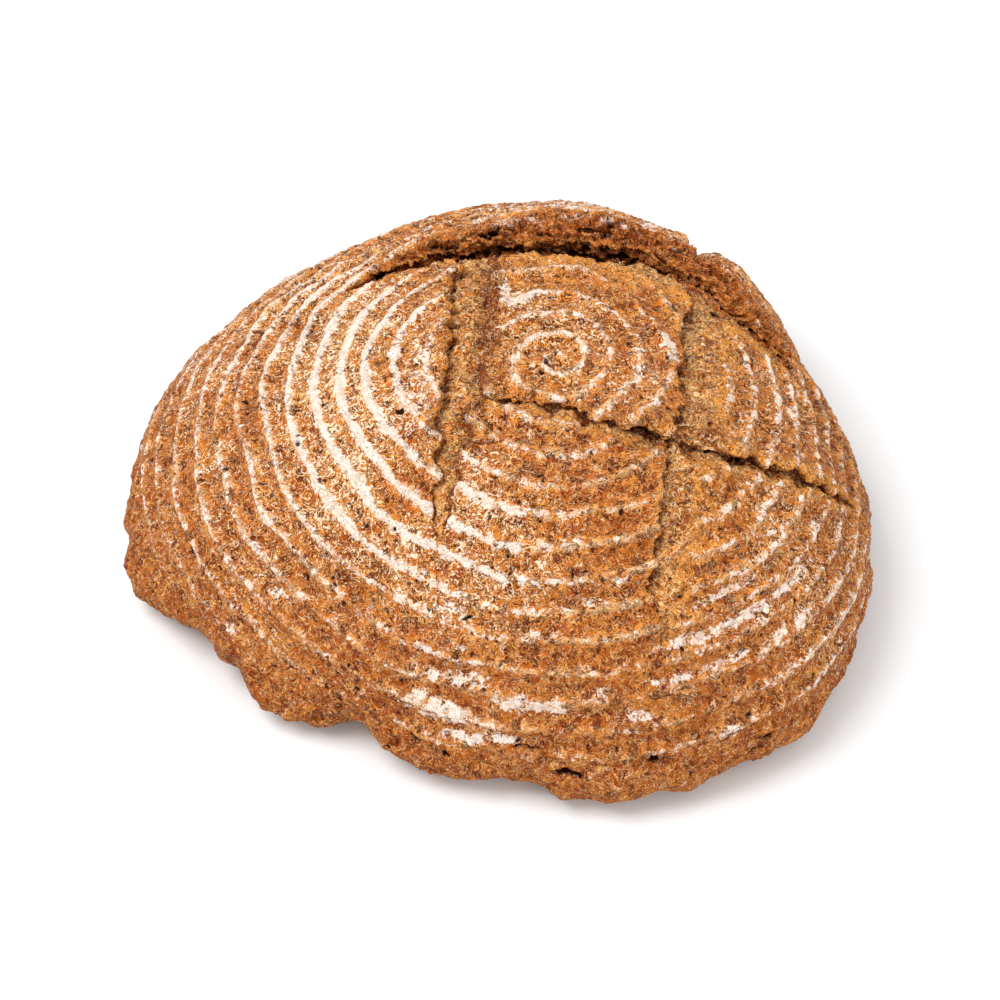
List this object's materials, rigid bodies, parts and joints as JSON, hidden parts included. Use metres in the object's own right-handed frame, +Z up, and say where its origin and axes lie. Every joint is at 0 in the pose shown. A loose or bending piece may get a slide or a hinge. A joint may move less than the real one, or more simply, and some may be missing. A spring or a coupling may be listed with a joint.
{
  "type": "sourdough loaf",
  "caption": "Round wholemeal sourdough loaf with a coiled basket ridge, dusted flour and a grid of cuts opened in the crown.",
  "frame": {"origin": "on the table under the middle of the loaf's bounding box", "axes": "+Z up through the crown, +X to the loaf's right, -Y towards the side with the front cut's open flank; the deep cut with the raised lip is on the +Y side of the crown"},
  "size_m": [0.2528, 0.255, 0.095],
  "materials": {
    "crust": "matte"
  },
  "bodies": {
    "root": {"loaf": "crust"}
  },
  "joints": []
}
